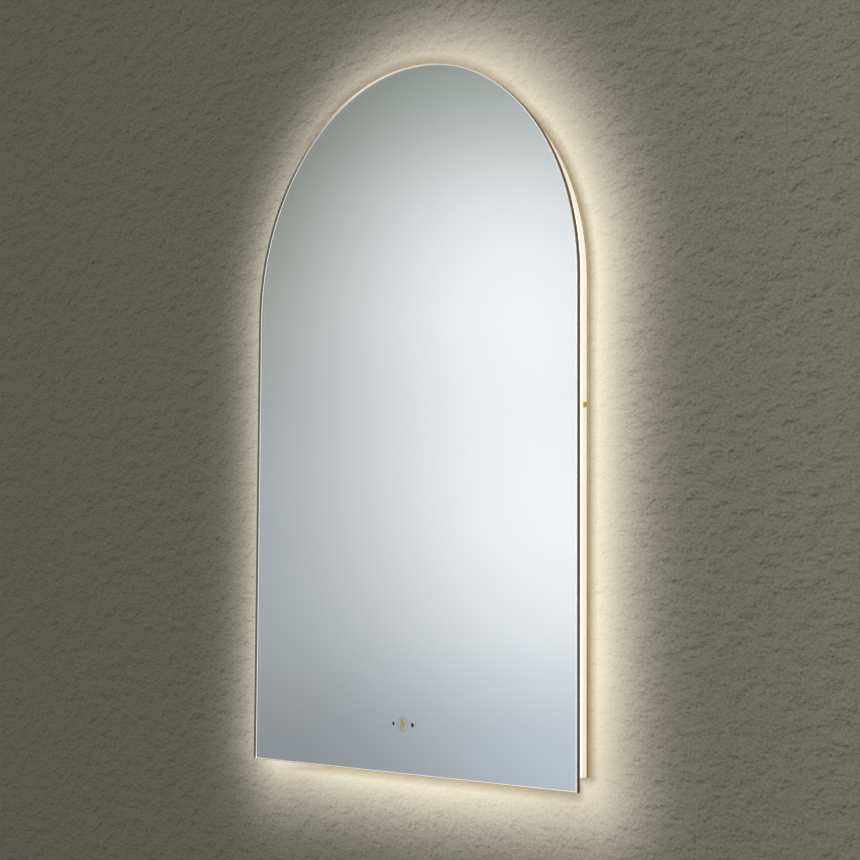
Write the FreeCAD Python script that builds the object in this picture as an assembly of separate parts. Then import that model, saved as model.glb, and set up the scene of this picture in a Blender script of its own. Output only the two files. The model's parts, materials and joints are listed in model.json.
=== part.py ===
import FreeCAD, Part
import math
import os

# Arched backlit bathroom mirror, hung on a wall cleat. Lengths are millimetres.
# X runs along the wall, positive to the viewer's right. Y runs into the wall. Z is up.
# The origin is the middle of the two wall fixings, on the face of the wall (Y = 0), so the
# whole object lies on the negative side of Y. An "inset" is measured inwards from an outline,
# a "drop" downwards from the top of the pane, and a "share" is a part of the length it goes with.

same_place = 1e-6

# ---------------------------------------------------------------- pane
glass_width = 600.0
glass_height = 900.0
glass_thickness = 5.0
edge_arris = 1.0
silver_gap = 0.05
silver_thickness = 0.2
film_thickness = 0.3
film_margin = 2.0

# ---------------------------------------------------------------- whole object
overall_depth = 40.0
fixing_drop = 210.0
body_inset = 15.0

# ---------------------------------------------------------------- rear rim, panel and cream band
rim_standoff = 0.5
rim_height = 5.2
rim_sheet = 1.2
rim_flange_width = 14.0
groove_width = 0.8
panel_sheet = 1.0
panel_clearance = 0.2
band_height = 8.0
rib_radius = 6.0
rib_rise = 0.9
rib_spacing = 300.0
rib_length = 330.0
rib_centre_height = 330.0
vent_length = 44.0
vent_width = 3.0
vent_pitch = 9.0
vent_count = 6
vent_column_offset = 33.0
vent_rises_above_brace = (-105.0, 182.0)

# ---------------------------------------------------------------- channel, diffuser and tape
channel_wall = 1.5
ledge_wall = 1.5
lip_height = 4.5
web_inset = 12.0
front_flange_width = 7.0
rear_flange_width = 28.0
diffuser_wall = 3.0
diffuser_clearance = 0.2
tape_thickness = 1.0
tape_margin = 1.0
bracket_leg = 35.0
bracket_height = 8.0
bracket_sheet = 1.5
bracket_rivet_shares = (0.4, 0.8)

# ---------------------------------------------------------------- light strip
strip_width = 10.0
strip_thickness = 0.4
strip_gap = 6.0
chip_length = 5.0
chip_height = 3.0
chip_thickness = 1.4
chip_pitch = 16.6
chip_end_margin = 16.0

# ---------------------------------------------------------------- cleats and bumpers
rail_sheet = 1.2
rail_gap = 0.4
wall_rail_length = 380.0
wall_rail_height = 26.0
wall_lip_height = 14.0
hanger_rail_length = 320.0
hanger_flange_height = 22.0
cleat_engagement = 12.0
seat_clearance = 0.3
fixing_spacing = 300.0
fixing_radius = 2.75
bumper_radius = 11.0
bumper_spacing = 420.0
bumper_height = 80.0
bumper_chamfer = 1.0
hanger_rivet_shares = (-0.44, -0.15, 0.15, 0.44)

# ---------------------------------------------------------------- fasteners
screw_clearance = 0.15
rim_screw_radius = 1.5
rim_screw_length = 6.5
rim_screw_head_radius = 3.0
rim_screw_head_height = 1.8
rim_screw_inset = 8.0
rim_base_screw_shares = (-0.7, -0.25, 0.25, 0.7)
rim_side_screw_shares = (0.1, 0.37, 0.63, 0.9)
rim_arch_screw_angles = (30, 60, 90, 120, 150)
screw_edge_share = 0.4
cross_slot_width_share = 0.28
cross_slot_length_share = 1.2
cross_slot_floor_share = 0.45
side_screw_radius = 2.0
side_screw_head_radius = 3.5
side_screw_head_height = 1.8
side_screw_socket = 2.5
side_screw_crown_share = 0.5
side_screw_socket_share = 0.6
rivet_radius = 2.0
rivet_head_radius = 3.4
rivet_head_height = 1.0

# ---------------------------------------------------------------- cross brace and driver
brace_drop = 450.0
brace_width = 40.0
brace_sheet = 2.0
brace_tab_depth = 11.0
brace_clearance = 0.2
driver_length = 160.0
driver_width = 42.0
driver_depth = 18.0
driver_wall = 2.0
driver_ear_length = 13.0
driver_ear_width = 15.0
driver_ear_thickness = 2.5
lid_edge_share = 0.4
board_thickness = 1.6
board_clearance = 0.3
transformer_side = 22.0
transformer_height = 9.5
choke_length = 15.0
choke_width = 18.0
choke_height = 7.2
choke_offset = -46.0
capacitor_radius = 5.2
capacitor_height = 8.5
capacitor_offsets = (38.0, 58.0)

# ---------------------------------------------------------------- mains box
box_rise_above_brace = 110.0
box_inner_length = 76.0
box_inner_width = 48.0
box_depth = 17.0
box_wall = 2.0
box_flange = 8.0
box_rivet_spacing = 34.0
window_end_margin = 8.0
window_side_margin = 5.0
cover_end_lap = 1.0
cover_side_lap = 2.5
cover_sheet = 1.0
cover_screw_inset = 4.5
cover_screw_radius = 1.4
cover_screw_length = 5.0
cover_screw_head_radius = 2.7
cover_screw_head_height = 1.4
grommet_offset = 16.0
grommet_bore_radius = 4.2
grommet_neck_radius = 6.5
grommet_flange_radius = 9.0
grommet_flange_thickness = 1.4
block_length = 30.0
block_width = 18.0
block_depth = 10.0
block_end_clearance = 4.0
terminal_count = 3
terminal_radius = 2.2
terminal_height = 1.5
terminal_slot_width = 0.7

# ---------------------------------------------------------------- earth point
stud_offset = 62.0
stud_drop = 34.0
stud_radius = 2.5
stud_length = 10.0
nut_width = 8.0
nut_height = 3.5
tag_radius = 4.6
tag_sheet = 1.0

# ---------------------------------------------------------------- demister and wave switch
pad_width = 400.0
pad_height = 500.0
pad_thickness = 0.6
pad_drop = 170.0
patch_length = 30.0
patch_width = 20.0
patch_height = 6.0
patch_offset = 165.0
mark_height = 62.0
mark_spacing = 35.6
emitter_window_radius = 2.3
receiver_window_radius = 2.9
window_clearance = 0.05
ring_radius = 8.75
ring_width = 0.9
icon_height = 13.6
icon_palm_radius = 3.1
icon_palm_shift = -1.5
icon_thumb_radius = 1.45
icon_thumb_start = (-0.4, -2.6)
icon_thumb_end = (3.2, 0.9)
guide_radius = 11.5
guide_thickness = 1.6
housing_length = 56.0
housing_width = 30.0
housing_depth = 12.0
housing_wall = 1.6
gasket_thickness = 0.8
sensor_board_setback = 7.0
sensor_board_thickness = 1.2
eye_radius = 2.5
eye_gap = 0.3
indicator_side = 3.5

# ---------------------------------------------------------------- inner wiring
mains_lead_radius = 3.0
led_lead_radius = 2.0
sensor_lead_radius = 1.6
demister_lead_radius = 2.4
earth_lead_radius = 1.4
lead_bend_share = 0.45
lead_exit_offset = 10.0
mains_lead_rise = 5.1
mains_turn_reach = 35.0
low_voltage_rise = 14.6
sensor_turn_reach = 15.0
sensor_crossing_drop = 30.0
strip_feed_drop = 60.0
led_lead_bend_shares = (0.27, 0.43)
demister_lead_bend_shares = (0.3, 0.7)
led_clip_share = 0.75
sensor_clip_shares = (0.3, 0.75)
clip_wall = 1.6
clip_length = 7.0
clip_base = 14.0
clip_base_thickness = 1.5
clip_bore_clearance = 0.15

# ---------------------------------------------------------------- stations worked out from the sizes above
face_front = -overall_depth
glass_back = face_front + glass_thickness
silver_front = glass_back + silver_gap
silver_back = silver_front + silver_thickness
film_back = silver_back + film_thickness
tape_back = film_back + tape_thickness
front_flange_back = tape_back + channel_wall
pad_back = film_back + pad_thickness
rim_back = -rim_standoff
rim_front = rim_back - rim_height
panel_back = rim_front
panel_front = panel_back - panel_sheet
rear_flange_front = panel_front - channel_wall
band_back = rim_front - groove_width
band_front = band_back - band_height
ledge_back = band_front + ledge_wall
lip_front = band_front - lip_height
strip_centre = (front_flange_back + band_front) / 2
rim_flange_back = rim_front + rim_sheet

glass_top = fixing_drop
glass_bottom = glass_top - glass_height
arch_centre = glass_top - glass_width / 2
mark_centre = glass_bottom + mark_height
brace_centre = glass_top - brace_drop
box_centre = brace_centre + box_rise_above_brace
pad_top = glass_top - pad_drop
pad_bottom = pad_top - pad_height

lip_inset = body_inset + diffuser_wall + diffuser_clearance
web_outer = body_inset + web_inset
web_inner = web_outer + channel_wall
side_web = glass_width / 2 - web_inner
base_web = glass_bottom + web_inner
side_screw_plane = (band_front + band_back) / 2

brace_back = rear_flange_front - brace_clearance
brace_front = brace_back - brace_sheet
driver_back = brace_front
driver_front = driver_back - driver_depth
mains_lead_plane = driver_back - mains_lead_rise
low_voltage_plane = driver_back - low_voltage_rise
feed_height = brace_centre - strip_feed_drop
bracket_plane = rear_flange_front - seat_clearance - bracket_height / 2
box_front = panel_front - box_depth
window_length = box_inner_length - 2 * window_end_margin
window_width = box_inner_width - 2 * window_side_margin
cover_length = box_inner_length + 2 * cover_end_lap
cover_width = box_inner_width + 2 * cover_side_lap
block_offset = block_end_clearance + (block_length - box_inner_length) / 2
wall_base_top = wall_rail_height / 2
wall_lip_top = wall_base_top + wall_lip_height
hanger_seat = wall_lip_top + seat_clearance
hanger_top = hanger_seat + hanger_flange_height
housing_front = film_back + gasket_thickness
sensor_board_front = housing_front + sensor_board_setback
stud_x = stud_offset
stud_z = box_centre - stud_drop


def point(x, y, z):
    return FreeCAD.Vector(x, y, z)


def block(x_range, y_range, z_range):
    """Solid block between a low and a high value on each axis."""
    corner = point(min(x_range), min(y_range), min(z_range))
    sizes = [max(pair) - min(pair) for pair in (x_range, y_range, z_range)]
    return Part.makeBox(*sizes, corner)


def centred_block(x, z, length, width, front, back):
    """Block centred on x and z, between two stations along Y."""
    return block((x - length / 2, x + length / 2), (front, back), (z - width / 2, z + width / 2))


def rod(radius, start, end):
    """Round bar from one point to another."""
    along = end - start
    return Part.makeCylinder(radius, along.Length, start, along)


def pin_y(radius, x, z, front, back):
    """Round bar along Y."""
    return rod(radius, point(x, front, z), point(x, back, z))


def fuse(first, *others):
    """One solid of several that touch."""
    return first.multiFuse(list(others)).removeSplitter()


def cut(body, tools):
    """The body less every tool."""
    return body.cut(Part.makeCompound(tools))


def group(solids):
    """Separate solids kept together as one node."""
    return Part.makeCompound(solids)


def arch_prism(inset, front, back):
    """The pane's outline drawn in by inset: square bottom corners, straight sides, half-round top."""
    half = glass_width / 2 - inset
    bottom = glass_bottom + inset
    left_foot = point(-half, front, bottom)
    right_foot = point(half, front, bottom)
    right_spring = point(half, front, arch_centre)
    crown = point(0, front, arch_centre + half)
    left_spring = point(-half, front, arch_centre)
    edges = [
        Part.makeLine(left_foot, right_foot),
        Part.makeLine(right_foot, right_spring),
        Part.Arc(right_spring, crown, left_spring).toShape(),
        Part.makeLine(left_spring, left_foot),
    ]
    return Part.Face(Part.Wire(edges)).extrude(point(0, back - front, 0))


def arch_ring(outer_inset, inner_inset, front, back):
    """Band that follows the outline between two insets."""
    past = 1.0
    return arch_prism(outer_inset, front, back).cut(arch_prism(inner_inset, front - past, back + past))


def base_region():
    """Space of the bottom members, bounded by the two 45 degree mitres at the body's corners."""
    half = glass_width / 2 - body_inset
    bottom = glass_bottom + body_inset
    reach = 2 * rear_flange_width
    over = body_inset
    corners = [
        point(-half - over, face_front, bottom - over),
        point(half + over, face_front, bottom - over),
        point(half - reach, face_front, bottom + reach),
        point(-half + reach, face_front, bottom + reach),
    ]
    outline = Part.makePolygon(corners + corners[:1])
    return Part.Face(outline).extrude(point(0, overall_depth, 0))


def arch_member(ring):
    return ring.cut(base_region())


def base_member(ring):
    return ring.common(base_region())


def capsule(start, end, radius, front, back):
    """Round-ended bar between two (x, z) points, between two stations along Y."""
    across = math.hypot(end[0] - start[0], end[1] - start[1])
    side_x = (end[1] - start[1]) / across * radius
    side_z = -(end[0] - start[0]) / across * radius
    corners = [
        point(start[0] + side_x, front, start[1] + side_z),
        point(end[0] + side_x, front, end[1] + side_z),
        point(end[0] - side_x, front, end[1] - side_z),
        point(start[0] - side_x, front, start[1] - side_z),
    ]
    middle = Part.Face(Part.makePolygon(corners + corners[:1])).extrude(point(0, back - front, 0))
    return fuse(middle, pin_y(radius, *start, front, back), pin_y(radius, *end, front, back))


# ---------------------------------------------------------------- pane and its layers
def mirror_glass():
    pane = arch_prism(0, face_front, glass_back)
    rims = [e for e in pane.Edges if e.BoundBox.YLength < same_place]
    return pane.makeChamfer(edge_arris, rims)


def icon_shape(grow, front, back):
    """Plain hand sign: an upright palm and a thumb."""
    half = icon_height / 2 - icon_palm_radius
    palm_x = icon_palm_shift
    palm_ends = ((palm_x, mark_centre - half), (palm_x, mark_centre + half))
    palm = capsule(*palm_ends, icon_palm_radius + grow, front, back)
    thumb_ends = [(x, mark_centre + z) for x, z in (icon_thumb_start, icon_thumb_end)]
    thumb = capsule(*thumb_ends, icon_thumb_radius + grow, front, back)
    return fuse(palm, thumb)


def ring_shape(grow, front, back):
    outer = pin_y(ring_radius + ring_width / 2 + grow, 0, mark_centre, front, back)
    return outer.cut(pin_y(ring_radius - ring_width / 2 - grow, 0, mark_centre, front, back))


def eye_places():
    """Middle and window radius of the two eyes of the wave switch."""
    return ((-mark_spacing / 2, emitter_window_radius), (mark_spacing / 2, receiver_window_radius))


def mark_openings(front, back):
    """Clear places of the marks: two round windows, a ring and the icon."""
    eyes = [pin_y(radius, x, mark_centre, front, back) for x, radius in eye_places()]
    return eyes + [ring_shape(0, front, back), icon_shape(0, front, back)]


def silvering():
    coat = arch_prism(edge_arris, silver_front, silver_back)
    return cut(coat, mark_openings(silver_front, silver_back))


def safety_film():
    film = arch_prism(film_margin, silver_back, film_back)
    return cut(film, mark_openings(silver_back, film_back))


def frame_bond_tape():
    outer = lip_inset + tape_margin
    inner = web_inner + front_flange_width - tape_margin
    return arch_ring(outer, inner, film_back, tape_back)


# ---------------------------------------------------------------- lit body
def diffuser_ring():
    front = film_back + diffuser_clearance
    back = band_front - diffuser_clearance
    return arch_ring(body_inset, body_inset + diffuser_wall, front, back)


def channel_ring():
    """Folded channel: front flange, lit web, rear flange, cream band, ledge and inner lip."""
    front_flange = arch_ring(lip_inset, web_inner + front_flange_width, tape_back, front_flange_back)
    web = arch_ring(web_outer, web_inner, tape_back, panel_front)
    rear_flange = arch_ring(body_inset, body_inset + rear_flange_width, rear_flange_front, panel_front)
    band = arch_ring(body_inset, body_inset + channel_wall, band_front, band_back)
    ledge = arch_ring(body_inset, lip_inset + channel_wall, band_front, ledge_back)
    lip = arch_ring(lip_inset, lip_inset + channel_wall, lip_front, ledge_back)
    ring = fuse(front_flange, web, rear_flange, band, ledge, lip)
    return cut(ring, channel_holes())


def channel_holes():
    radius = side_screw_radius + screw_clearance
    half = glass_width / 2
    start = point(-half, side_screw_plane, brace_centre)
    end = point(half, side_screw_plane, brace_centre)
    holes = [rod(radius, start, end)]
    feed_start = point(side_web - channel_wall, low_voltage_plane, feed_height)
    feed_end = point(side_web + 2 * channel_wall, low_voltage_plane, feed_height)
    holes.append(rod(led_lead_radius + clip_bore_clearance, feed_start, feed_end))
    for x, z in rim_screw_places():
        holes.append(pin_y(rim_screw_radius + screw_clearance, x, z, rear_flange_front, panel_front))
    for start, end, _ in bracket_rivet_places():
        holes.append(rod(rivet_radius, start, end))
    return holes


def bracket_rivet_places():
    """Axis of each corner rivet, from the bracket's inner face to the web's outer face."""
    places = []
    for side in (-1, 1):
        for share in bracket_rivet_shares:
            reach = share * bracket_leg
            inner = point(side * (side_web - bracket_sheet), bracket_plane, base_web + reach)
            outer = point(side * (side_web + channel_wall), bracket_plane, base_web + reach)
            places.append((inner, outer, point(side, 0, 0)))
            inner = point(side * (side_web - reach), bracket_plane, base_web + bracket_sheet)
            outer = point(side * (side_web - reach), bracket_plane, base_web - channel_wall)
            places.append((inner, outer, point(0, 0, -1)))
    return places


def corner_brackets():
    """Angles inside the channel's bottom corners, just in front of its rear flange."""
    front = bracket_plane - bracket_height / 2
    back = bracket_plane + bracket_height / 2
    holes = [rod(rivet_radius, inner, outer) for inner, outer, _ in bracket_rivet_places()]
    brackets = []
    for side in (-1, 1):
        wall = side * side_web
        upright_x = (wall, wall - side * bracket_sheet)
        foot_x = (wall, wall - side * bracket_leg)
        upright = block(upright_x, (front, back), (base_web, base_web + bracket_leg))
        foot = block(foot_x, (front, back), (base_web, base_web + bracket_sheet))
        brackets.append(cut(fuse(upright, foot), holes))
    return group(brackets)


def corner_rivets():
    rivets = []
    for inner, outer, outward in bracket_rivet_places():
        head = rod(rivet_head_radius, inner - outward * rivet_head_height, inner)
        tail = rod(rivet_head_radius, outer, outer + outward * rivet_head_height)
        rivets.append(fuse(head, rod(rivet_radius, inner, outer), tail))
    return group(rivets)


def led_strip():
    front = strip_centre - strip_width / 2
    back = strip_centre + strip_width / 2
    strip = arch_ring(web_outer - strip_thickness, web_outer, front, back)
    gap_middle = feed_height - led_lead_radius - strip_gap
    gap_z = (gap_middle - strip_gap / 2, gap_middle + strip_gap / 2)
    return strip.cut(block((side_web, glass_width / 2), (front, back), gap_z))


def chip(x, z, facing):
    """One light chip whose back is at (x, z) and which faces the given angle from +X towards +Z."""
    body = block(
        (0, chip_thickness),
        (strip_centre - chip_height / 2, strip_centre + chip_height / 2),
        (-chip_length / 2, chip_length / 2),
    )
    body.rotate(point(0, 0, 0), point(0, -1, 0), facing)
    body.translate(point(x, 0, z))
    return body


def even_places(length):
    """Places along a run, evenly pitched about its middle and clear of its ends."""
    count = int((length - 2 * chip_end_margin) // chip_pitch) + 1
    return [(k - (count - 1) / 2) * chip_pitch for k in range(count)]


def led_chips():
    radius = glass_width / 2 - web_outer + strip_thickness
    base = glass_bottom + web_outer - strip_thickness
    side_length = arch_centre - base
    side_middle = (arch_centre + base) / 2
    chips = [chip(x, base, -90) for x in even_places(2 * radius)]
    for shift in even_places(side_length):
        z = side_middle + shift
        chips.append(chip(-radius, z, 180))
        if abs(z - feed_height) > strip_gap + 2 * chip_length:
            chips.append(chip(radius, z, 0))
    for along in even_places(math.pi * radius):
        angle = math.pi / 2 + along / radius
        x = radius * math.cos(angle)
        z = arch_centre + radius * math.sin(angle)
        chips.append(chip(x, z, math.degrees(angle)))
    return group(chips)


# ---------------------------------------------------------------- back panel and rim
def rim_screw_places():
    """Screws round the rim: along the base, up both sides and over the arch."""
    inset = body_inset + rim_screw_inset
    half = glass_width / 2 - inset
    base = glass_bottom + inset
    side_length = arch_centre - base
    places = [(half * share, base) for share in rim_base_screw_shares]
    for share in rim_side_screw_shares:
        places.append((-half, base + side_length * share))
        places.append((half, base + side_length * share))
    for degrees in rim_arch_screw_angles:
        angle = math.radians(degrees)
        places.append((half * math.cos(angle), arch_centre + half * math.sin(angle)))
    return places


def vent_slots():
    slots = []
    half = (vent_length - vent_width) / 2
    for rise in vent_rises_above_brace:
        for k in range(vent_count):
            z = brace_centre + rise + (k - (vent_count - 1) / 2) * vent_pitch
            for x in (-vent_column_offset, vent_column_offset):
                ends = ((x - half, z), (x + half, z))
                slots.append(capsule(*ends, vent_width / 2, panel_front, panel_back))
    return slots


def back_panel():
    sheet = arch_prism(body_inset + channel_wall + panel_clearance, panel_front, panel_back)
    ribs = []
    hollows = []
    middle = glass_bottom + rib_centre_height
    for side in (-1, 1):
        x = side * rib_spacing / 2
        ends = ((x, middle - rib_length / 2), (x, middle + rib_length / 2))
        ribs.append(capsule(*ends, rib_radius, panel_back, panel_back + rib_rise))
        hollows.append(capsule(*ends, rib_radius - panel_sheet, panel_front, panel_front + rib_rise))
    holes = [
        pin_y(radius, x, z, panel_front, panel_back)
        for radius, places in (
            (rim_screw_radius + screw_clearance, rim_screw_places()),
            (rivet_radius, hanger_rivet_places() + box_rivet_places()),
            (cover_screw_radius, cover_screw_places()),
        )
        for x, z in places
    ]
    holes.append(centred_block(0, box_centre, window_length, window_width, panel_front, panel_back))
    return cut(fuse(sheet, *ribs), hollows + holes + vent_slots())


def rim_ring():
    """Angle section: a flange on the panel and a skirt that stands towards the wall."""
    flange = arch_ring(body_inset, body_inset + rim_flange_width, rim_front, rim_flange_back)
    skirt = arch_ring(body_inset, body_inset + rim_sheet, rim_front, rim_back)
    radius = rim_screw_radius + screw_clearance
    holes = [pin_y(radius, x, z, rim_front, rim_flange_back) for x, z in rim_screw_places()]
    return cut(fuse(flange, skirt), holes)


def pan_screw(x, z, seat, radius, length, head_radius, head_height):
    """Screw driven from the wall side: a round head behind the seat and a shank in front of it."""
    head = pin_y(head_radius, x, z, seat, seat + head_height)
    top = seat + head_height
    rims = [e for e in head.Edges if e.BoundBox.YMin > top - same_place]
    head = head.makeChamfer(head_height * screw_edge_share, rims)
    slot_width = head_radius * cross_slot_width_share
    slot_length = head_radius * cross_slot_length_share
    slot_floor = seat + head_height * cross_slot_floor_share
    upright = centred_block(x, z, slot_width, slot_length, slot_floor, top)
    level = centred_block(x, z, slot_length, slot_width, slot_floor, top)
    return fuse(cut(head, [upright, level]), pin_y(radius, x, z, seat - length, seat))


def back_panel_screws():
    sizes = (rim_screw_radius, rim_screw_length, rim_screw_head_radius, rim_screw_head_height)
    return group([pan_screw(x, z, rim_flange_back, *sizes) for x, z in rim_screw_places()])


# ---------------------------------------------------------------- cleats
def wall_rail():
    """Low cleat on the wall: a flat base with the two fixings and an upstanding lip."""
    half = wall_rail_length / 2
    lip_back = -rail_sheet - 2 * rail_gap
    lip_front_face = lip_back - rail_sheet
    base = block((-half, half), (-rail_sheet, 0), (-wall_base_top, wall_base_top))
    step = block((-half, half), (lip_front_face, 0), (wall_base_top - rail_sheet, wall_base_top))
    lip = block((-half, half), (lip_front_face, lip_back), (wall_base_top - rail_sheet, wall_lip_top))
    holes = [pin_y(fixing_radius, side * fixing_spacing / 2, 0, -rail_sheet, 0) for side in (-1, 1)]
    return cut(fuse(base, step, lip), holes)


def hanger_rail():
    """Cleat on the back panel whose lip drops between the wall and the wall rail's lip."""
    half = hanger_rail_length / 2
    lip_bottom = hanger_seat - cleat_engagement
    flange = block((-half, half), (panel_back, panel_back + rail_sheet), (hanger_seat, hanger_top))
    shelf = block((-half, half), (panel_back, -rail_gap), (hanger_seat, hanger_seat + rail_sheet))
    lip_front_face = -rail_gap - rail_sheet
    lip = block((-half, half), (lip_front_face, -rail_gap), (lip_bottom, hanger_seat + rail_sheet))
    flange_back = panel_back + rail_sheet
    holes = [pin_y(rivet_radius, x, z, panel_back, flange_back) for x, z in hanger_rivet_places()]
    return cut(fuse(flange, shelf, lip), holes)


def hanger_rivet_places():
    z = hanger_seat + rail_sheet + (hanger_flange_height - rail_sheet) / 2
    return [(hanger_rail_length * share, z) for share in hanger_rivet_shares]


def rivet_y(x, z, back, front):
    """Rivet along Y through everything between two faces."""
    head = pin_y(rivet_head_radius, x, z, back, back + rivet_head_height)
    tail = pin_y(rivet_head_radius, x, z, front - rivet_head_height, front)
    return fuse(head, pin_y(rivet_radius, x, z, front, back), tail)


def hanger_rivets():
    return group([rivet_y(x, z, panel_back + rail_sheet, panel_front) for x, z in hanger_rivet_places()])


def wall_bumpers():
    bumpers = []
    for side in (-1, 1):
        x = side * bumper_spacing / 2
        pad = pin_y(bumper_radius, x, glass_bottom + bumper_height, panel_back, 0)
        edges = [e for e in pad.Edges if e.BoundBox.YMin > -same_place]
        bumpers.append(pad.makeChamfer(bumper_chamfer, edges))
    return group(bumpers)


# ---------------------------------------------------------------- cross brace and driver
def brace_end():
    """Outer face of the brace's end tabs, just inside the channel's web."""
    return side_web - brace_clearance


def cross_brace():
    end = brace_end()
    low = brace_centre - brace_width / 2
    high = brace_centre + brace_width / 2
    bar = block((-end, end), (brace_front, brace_back), (low, high))
    tabs = []
    for side in (-1, 1):
        tab_x = (side * end, side * (end - brace_sheet))
        tabs.append(block(tab_x, (brace_back - brace_tab_depth, brace_back), (low, high)))
    start = point(-end, side_screw_plane, brace_centre)
    holes = [rod(side_screw_radius, start, point(end, side_screw_plane, brace_centre))]
    bar = fuse(bar, *tabs)
    bore_clear = block(
        (-end + brace_sheet, end - brace_sheet),
        (side_screw_plane - side_screw_radius, brace_front),
        (low, high),
    )
    tab_holes = [hole.cut(bore_clear) for hole in holes]
    screw_holes = [
        pin_y(side_screw_radius, x, z, brace_front, brace_back)
        for x, z in driver_screw_places()
    ]
    return cut(bar, tab_holes + screw_holes)


def side_screws():
    screws = []
    skin = glass_width / 2 - body_inset
    tip = brace_end() - brace_sheet
    for side in (-1, 1):
        seat = point(side * skin, side_screw_plane, brace_centre)
        outward = point(side, 0, 0)
        top = seat + outward * side_screw_head_height
        head = rod(side_screw_head_radius, seat, top)
        crown = [
            e for e in head.Edges
            if abs(e.BoundBox.XMin - top.x) < same_place and e.BoundBox.XLength < same_place
        ]
        head = head.makeFillet(side_screw_head_height * side_screw_crown_share, crown)
        socket_floor = top - outward * side_screw_head_height * side_screw_socket_share
        socket = hexagon_x(side_screw_socket, socket_floor, outward)
        shank = rod(side_screw_radius, point(side * tip, side_screw_plane, brace_centre), seat)
        screws.append(fuse(head.cut(socket), shank))
    return group(screws)


def hexagon_x(across_flats, start, outward):
    """Six-sided bar along X from a point, long enough to pass the screw's head."""
    radius = across_flats / math.sqrt(3)
    corners = []
    for k in range(6):
        angle = math.radians(60 * k)
        corners.append(start + point(0, radius * math.cos(angle), radius * math.sin(angle)))
    return Part.Face(Part.makePolygon(corners + corners[:1])).extrude(outward * side_screw_head_height)


def driver_ear_centre():
    return brace_centre - driver_width / 2 + driver_ear_width / 2


def driver_screw_places():
    x = (driver_length + driver_ear_length) / 2
    return [(-x, driver_ear_centre()), (x, driver_ear_centre())]


def driver_case():
    """Tray of the driver: open towards the pane, with an ear at each end."""
    lid_back = driver_front + driver_wall
    outer = centred_block(0, brace_centre, driver_length, driver_width, lid_back, driver_back)
    inner = centred_block(
        0, brace_centre, driver_length - 2 * driver_wall, driver_width - 2 * driver_wall,
        lid_back, driver_back - driver_wall,
    )
    ear_length = driver_length + 2 * driver_ear_length
    ear_front = driver_back - driver_ear_thickness
    ears = centred_block(0, driver_ear_centre(), ear_length, driver_ear_width, ear_front, driver_back)
    holes = [
        pin_y(side_screw_radius + screw_clearance, x, z, ear_front, driver_back)
        for x, z in driver_screw_places()
    ]
    return cut(fuse(outer, ears), [inner] + holes)


def driver_lid():
    lid_back = driver_front + driver_wall
    lid = centred_block(0, brace_centre, driver_length, driver_width, driver_front, lid_back)
    edges = [e for e in lid.Edges if e.BoundBox.YMax < driver_front + same_place]
    return lid.makeChamfer(driver_wall * lid_edge_share, edges)


def driver_board():
    """Circuit board with its transformer, capacitors and choke."""
    length = driver_length - 2 * driver_wall - 2 * board_clearance
    width = driver_width - 2 * driver_wall - 2 * board_clearance
    back = driver_back - driver_wall - board_clearance
    front = back - board_thickness
    board = centred_block(0, brace_centre, length, width, front, back)
    transformer = centred_block(
        0, brace_centre, transformer_side, transformer_side, front - transformer_height, front
    )
    choke = centred_block(
        choke_offset, brace_centre, choke_length, choke_width, front - choke_height, front
    )
    capacitors = [
        pin_y(capacitor_radius, x, brace_centre, front - capacitor_height, front)
        for x in capacitor_offsets
    ]
    return fuse(board, transformer, choke, *capacitors)


def driver_screws():
    screws = []
    ear_front = driver_back - driver_ear_thickness
    for x, z in driver_screw_places():
        head = pin_y(side_screw_head_radius, x, z, ear_front - side_screw_head_height, ear_front)
        shank = pin_y(side_screw_radius, x, z, ear_front, brace_back)
        screws.append(fuse(head, shank))
    return group(screws)


# ---------------------------------------------------------------- mains box at the back
def junction_box():
    """Moulded box in front of the panel's window, open towards the wall."""
    length = box_inner_length + 2 * box_wall
    width = box_inner_width + 2 * box_wall
    shell = centred_block(0, box_centre, length, width, box_front, panel_front)
    flange_length = length + 2 * box_flange
    flange = centred_block(0, box_centre, flange_length, width, panel_front - box_wall, panel_front)
    floor = box_front + box_wall
    inner = centred_block(0, box_centre, box_inner_length, box_inner_width, floor, panel_front)
    holes = [
        pin_y(rivet_radius, x, z, panel_front - box_wall, panel_front)
        for x, z in box_rivet_places()
    ]
    return cut(fuse(shell, flange), [inner] + holes)


def box_rivet_places():
    x = (box_inner_length + 2 * box_wall + box_flange) / 2
    z = box_rivet_spacing / 2
    return [(side * x, box_centre + rise) for side in (-1, 1) for rise in (-z, z)]


def junction_rivets():
    return group([rivet_y(x, z, panel_back, panel_front - box_wall) for x, z in box_rivet_places()])


def cover_screw_places():
    x = cover_length / 2 - cover_screw_inset
    z = cover_width / 2 - cover_screw_inset
    return [(i * x, box_centre + j * z) for i in (-1, 1) for j in (-1, 1)]


def terminal_cover():
    back = panel_back + cover_sheet
    plate = centred_block(0, box_centre, cover_length, cover_width, panel_back, back)
    radius = cover_screw_radius + screw_clearance
    holes = [pin_y(radius, x, z, panel_back, back) for x, z in cover_screw_places()]
    holes.append(pin_y(grommet_neck_radius, grommet_offset, box_centre, panel_back, back))
    return cut(plate, holes)


def cover_screws():
    seat = panel_back + cover_sheet
    sizes = (cover_screw_radius, cover_screw_length, cover_screw_head_radius, cover_screw_head_height)
    return group([pan_screw(x, z, seat, *sizes) for x, z in cover_screw_places()])


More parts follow.
